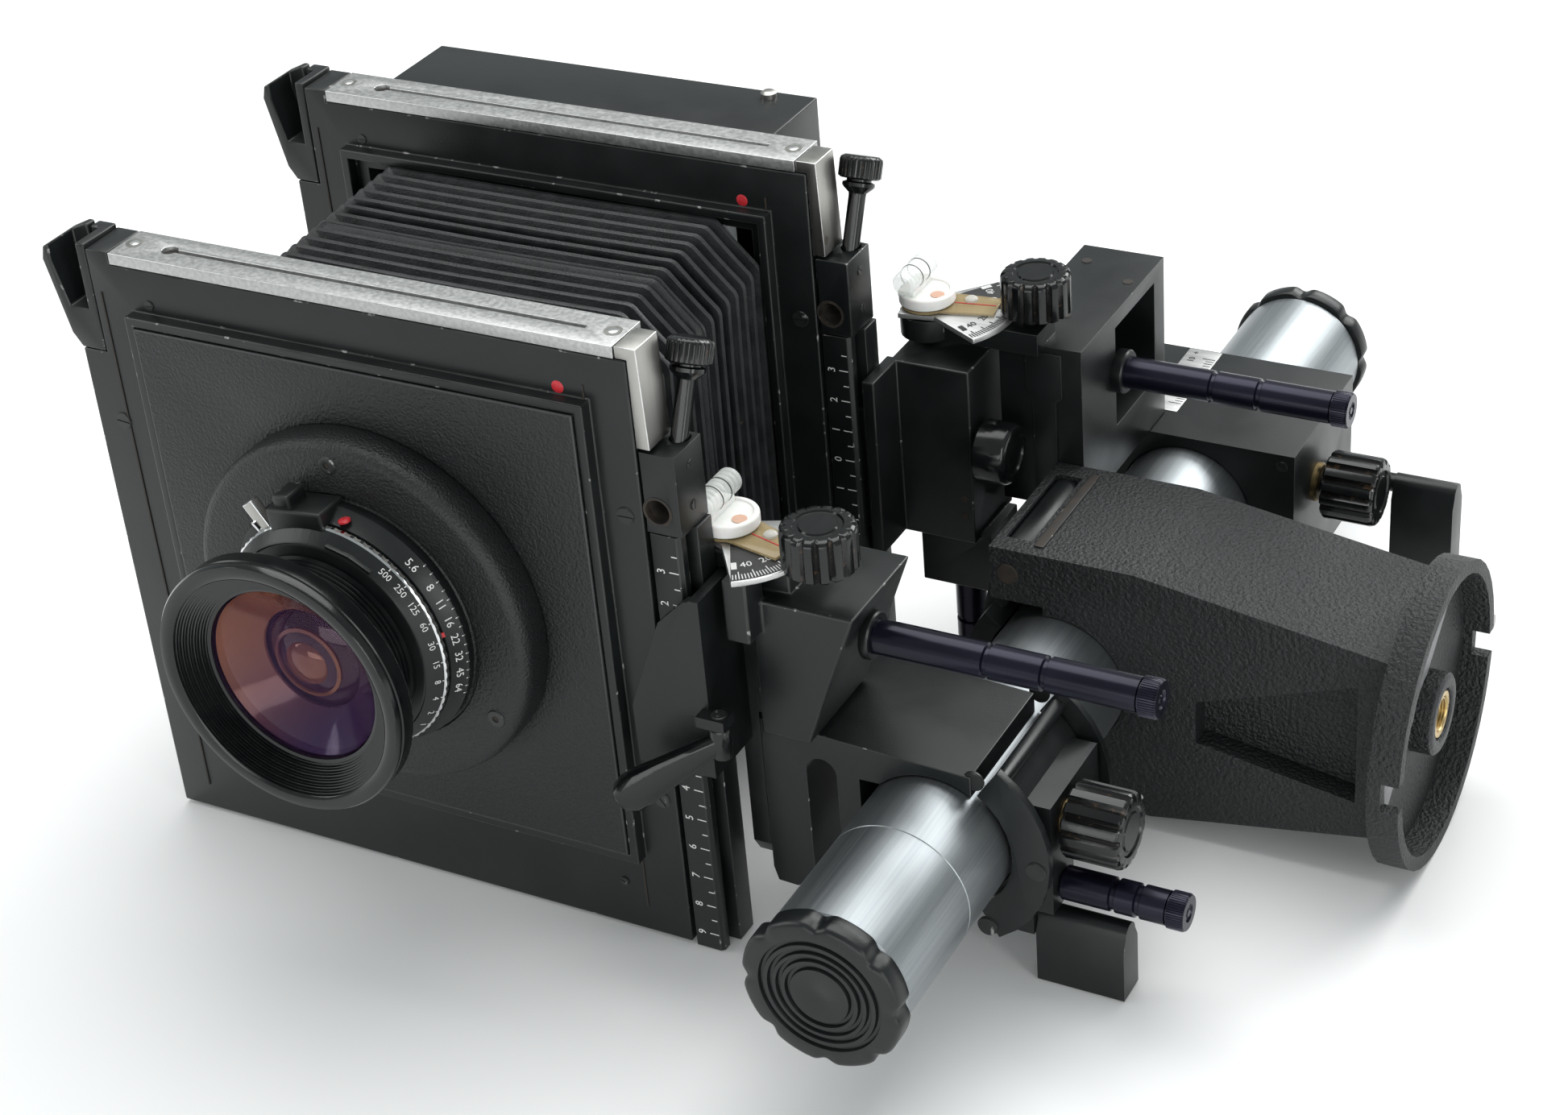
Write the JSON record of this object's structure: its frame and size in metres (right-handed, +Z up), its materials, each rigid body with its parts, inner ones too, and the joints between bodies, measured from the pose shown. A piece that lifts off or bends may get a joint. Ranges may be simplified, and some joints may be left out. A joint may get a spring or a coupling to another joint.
{
  "type": "view camera",
  "caption": "Monorail view camera with geared standards, pleated bellows, leaf-shutter lens, rail clamp with tripod flange and ground glass back",
  "frame": {"origin": "middle of the footprint, on the surface that the camera lies on", "axes": "+Z up from that surface, +Y from the lens towards the film, along the rail, +X from the lens axis towards the rail and the tripod flange"},
  "size_m": [0.3732, 0.367, 0.1913],
  "materials": {
    "satin_black": "satin black paint over aluminium",
    "gloss_black": "glossy black plastic",
    "crinkle_black": "fine crinkle black paint over cast aluminium",
    "bellows_black": "satin black bellows leather",
    "anodised": "blue-black anodised aluminium",
    "aluminium": "brushed aluminium",
    "steel": "bare steel",
    "chrome": "polished chrome",
    "brass": "machined brass",
    "white_plastic": "matte white plastic",
    "clear_plastic": "clear plastic",
    "amber_plastic": "clear amber plastic",
    "lens_glass": "coated optical glass",
    "ground_glass": "ground glass screen",
    "grey_plate": "light grey plate"
  },
  "bodies": {
    "rail": {"rail_tube": "aluminium", "rail_cap_front": "satin_black", "rail_cap_rear": "satin_black", "clamp_body": "crinkle_black", "clamp_hinge_pin": "steel", "clamp_end_plate": "grey_plate", "tripod_bush": "brass", "bellows": "bellows_black"},
    "clamp_jaw_body": {"clamp_jaw": "satin_black"},
    "clamp_screw_body": {"clamp_screw": "gloss_black"},
    "front_base_body": {"front_base": "satin_black", "front_jaw": "satin_black"},
    "front_focus_knob_body": {"front_focus_knob": "gloss_black"},
    "front_swing_drive_body": {"front_swing_drive": "anodised"},
    "front_lock_lever_body": {"front_lock_lever": "satin_black"},
    "front_rise_body": {"front_rise_block": "satin_black", "front_scale_plate": "aluminium"},
    "front_rise_drive_body": {"front_rise_drive": "anodised"},
    "front_lock_knob_body": {"front_lock_knob": "gloss_black"},
    "front_tilt_body": {"front_carriage": "satin_black", "front_pointer": "amber_plastic", "front_level_disc": "white_plastic", "front_level_vial": "clear_plastic"},
    "front_shift_lever_body": {"front_shift_lever": "gloss_black"},
    "front_frame_body": {"front_frame": "satin_black", "front_top_bar": "aluminium", "front_catch": "satin_black", "front_cheek_plate": "steel", "front_scale_bar": "satin_black", "front_socket_block": "satin_black", "lens_board": "satin_black", "lens_disc": "satin_black", "shutter_body": "satin_black", "lens_barrel": "satin_black", "lens_glass": "lens_glass"},
    "front_thumb_body": {"front_thumb_screw": "gloss_black"},
    "speed_ring_body": {"speed_ring": "steel"},
    "cocking_lever_body": {"cocking_lever": "chrome"},
    "rear_base_body": {"rear_base": "satin_black"},
    "rear_focus_knob_body": {"rear_focus_knob": "gloss_black"},
    "rear_lock_lever_body": {"rear_lock_lever": "satin_black"},
    "rear_rise_body": {"rear_rise_block": "satin_black", "rear_scale_plate": "aluminium"},
    "rear_rise_drive_body": {"rear_rise_drive": "anodised"},
    "rear_lock_knob_body": {"rear_lock_knob": "gloss_black"},
    "rear_tilt_body": {"rear_carriage": "satin_black", "rear_pointer": "amber_plastic", "rear_level_disc": "white_plastic", "rear_level_vial": "clear_plastic"},
    "rear_clamp_knob_body": {"rear_clamp_knob": "gloss_black"},
    "rear_shift_drive_body": {"rear_shift_drive": "anodised"},
    "rear_frame_body": {"rear_frame": "satin_black", "rear_top_bar": "aluminium", "rear_catch": "satin_black", "rear_cheek_plate": "steel", "rear_scale_bar": "satin_black", "rear_socket_block": "satin_black", "rear_back": "satin_black", "ground_glass": "ground_glass"},
    "rear_thumb_body": {"rear_thumb_screw": "gloss_black"}
  },
  "joints": [
    {"name": "clamp_jaw_open", "type": "hinge", "parent": "rail", "child": "clamp_jaw_body", "pos_m": [0.0651, -0.0065, 0.0785], "axis": [0, 1, 0], "range_deg": [0, 10]},
    {"name": "clamp_screw_turn", "type": "hinge", "parent": "clamp_jaw_body", "child": "clamp_screw_body", "pos_m": [0.0636, -0.0065, 0.0145], "axis": [1, 0, 0], "continuous": true},
    {"name": "front_focus", "type": "slide", "parent": "rail", "child": "front_base_body", "axis": [0, 1, 0], "range_m": [-0.016, 0.014], "deforming": ["bellows"]},
    {"name": "front_focus_knob_turn", "type": "hinge", "parent": "front_base_body", "child": "front_focus_knob_body", "pos_m": [0.1196, -0.0955, 0.0505], "axis": [1, 0, 0], "range_deg": [-105, 95]},
    {"name": "front_swing_drive_turn", "type": "hinge", "parent": "front_base_body", "child": "front_swing_drive_body", "pos_m": [0.1236, -0.0985, 0.0305], "axis": [1, 0, 0], "continuous": true},
    {"name": "front_lock_lever_swing", "type": "hinge", "parent": "front_base_body", "child": "front_lock_lever_body", "pos_m": [0.1166, -0.1005, 0.02], "axis": [1, 0, 0], "range_deg": [0, 45]},
    {"name": "front_rise", "type": "slide", "parent": "front_base_body", "child": "front_rise_body", "axis": [1, 0, 0], "range_m": [-0.02, 0], "deforming": ["bellows"]},
    {"name": "front_rise_drive_turn", "type": "hinge", "parent": "front_rise_body", "child": "front_rise_drive_body", "pos_m": [0.1036, -0.105, 0.1025], "axis": [1, 0, 0], "range_deg": [-130, 5]},
    {"name": "front_lock_knob_turn", "type": "hinge", "parent": "front_rise_body", "child": "front_lock_knob_body", "pos_m": [0.05182, -0.1146, 0.1305], "axis": [0, 0, 1], "continuous": true},
    {"name": "front_tilt", "type": "hinge", "parent": "front_rise_body", "child": "front_tilt_body", "pos_m": [0.0201, -0.1055, 0.1155], "axis": [0, 0, 1], "range_deg": [-8, 8], "deforming": ["bellows"]},
    {"name": "front_shift_lever_swing", "type": "hinge", "parent": "front_tilt_body", "child": "front_shift_lever_body", "pos_m": [0.0282, -0.1335, 0.0788], "axis": [0, 0, 1], "range_deg": [0, 20]},
    {"name": "front_shift", "type": "slide", "parent": "front_tilt_body", "child": "front_frame_body", "axis": [0, 0, 1], "range_m": [-0.02, 0.025], "deforming": ["bellows"]},
    {"name": "front_thumb_turn", "type": "hinge", "parent": "front_frame_body", "child": "front_thumb_body", "pos_m": [0.0156, -0.118, 0.1605], "axis": [0, 0.4067, 0.9135], "continuous": true},
    {"name": "speed_ring_turn", "type": "hinge", "parent": "front_frame_body", "child": "speed_ring_body", "pos_m": [-0.0764, -0.1565, 0.1005], "axis": [0, 1, 0], "range_deg": [-60, 60]},
    {"name": "cocking_lever_throw", "type": "hinge", "parent": "front_frame_body", "child": "cocking_lever_body", "pos_m": [-0.0764, -0.1495, 0.1005], "axis": [0, 1, 0], "range_deg": [0, 25]},
    {"name": "rear_focus", "type": "slide", "parent": "rail", "child": "rear_base_body", "axis": [0, 1, 0], "range_m": [0, 0.04], "deforming": ["bellows"]},
    {"name": "rear_focus_knob_turn", "type": "hinge", "parent": "rear_base_body", "child": "rear_focus_knob_body", "pos_m": [0.1266, 0.0915, 0.0505], "axis": [1, 0, 0], "range_deg": [-5, 260]},
    {"name": "rear_lock_lever_swing", "type": "hinge", "parent": "rear_base_body", "child": "rear_lock_lever_body", "pos_m": [0.1456, 0.1055, 0.0465], "axis": [1, 0, 0], "range_deg": [0, 45]},
    {"name": "rear_rise", "type": "slide", "parent": "rear_base_body", "child": "rear_rise_body", "axis": [1, 0, 0], "range_m": [-0.014, 0.005], "deforming": ["bellows"]},
    {"name": "rear_rise_drive_turn", "type": "hinge", "parent": "rear_rise_body", "child": "rear_rise_drive_body", "pos_m": [0.1036, 0.0465, 0.1045], "axis": [1, 0, 0], "range_deg": [-95, 35]},
    {"name": "rear_lock_knob_turn", "type": "hinge", "parent": "rear_rise_body", "child": "rear_lock_knob_body", "pos_m": [0.05139, 0.02496, 0.1385], "axis": [0, 0, 1], "continuous": true},
    {"name": "rear_tilt", "type": "hinge", "parent": "rear_rise_body", "child": "rear_tilt_body", "pos_m": [0.0188, 0.0198, 0.1155], "axis": [0, 0, 1], "range_deg": [-6, 6], "deforming": ["bellows"]},
    {"name": "rear_clamp_knob_turn", "type": "hinge", "parent": "rear_tilt_body", "child": "rear_clamp_knob_body", "pos_m": [0.0456, 0.0055, 0.0945], "axis": [1, 0, 0], "continuous": true},
    {"name": "rear_shift", "type": "slide", "parent": "rear_tilt_body", "child": "rear_frame_body", "axis": [0, 0, 1], "range_m": [-0.02, 0.025], "deforming": ["bellows"]},
    {"name": "rear_shift_drive_turn", "type": "hinge", "parent": "rear_tilt_body", "child": "rear_shift_drive_body", "pos_m": [0.0306, 0.0155, 0.0255], "axis": [0, 0, 1], "range_deg": [-130, 162]},
    {"name": "rear_thumb_turn", "type": "hinge", "parent": "rear_frame_body", "child": "rear_thumb_body", "pos_m": [0.0074, -0.0039, 0.1595], "axis": [0, 0.4067, 0.9135], "continuous": true}
  ],
  "couplings": [
    {"joint": "front_focus_knob_turn", "follows": "front_focus", "rad_per_m": 111.11},
    {"joint": "rear_focus_knob_turn", "follows": "rear_focus", "rad_per_m": 111.11},
    {"joint": "front_rise_drive_turn", "follows": "front_rise", "rad_per_m": 110},
    {"joint": "rear_rise_drive_turn", "follows": "rear_rise", "rad_per_m": 110},
    {"joint": "rear_shift_drive_turn", "follows": "rear_shift", "rad_per_m": 110}
  ]
}
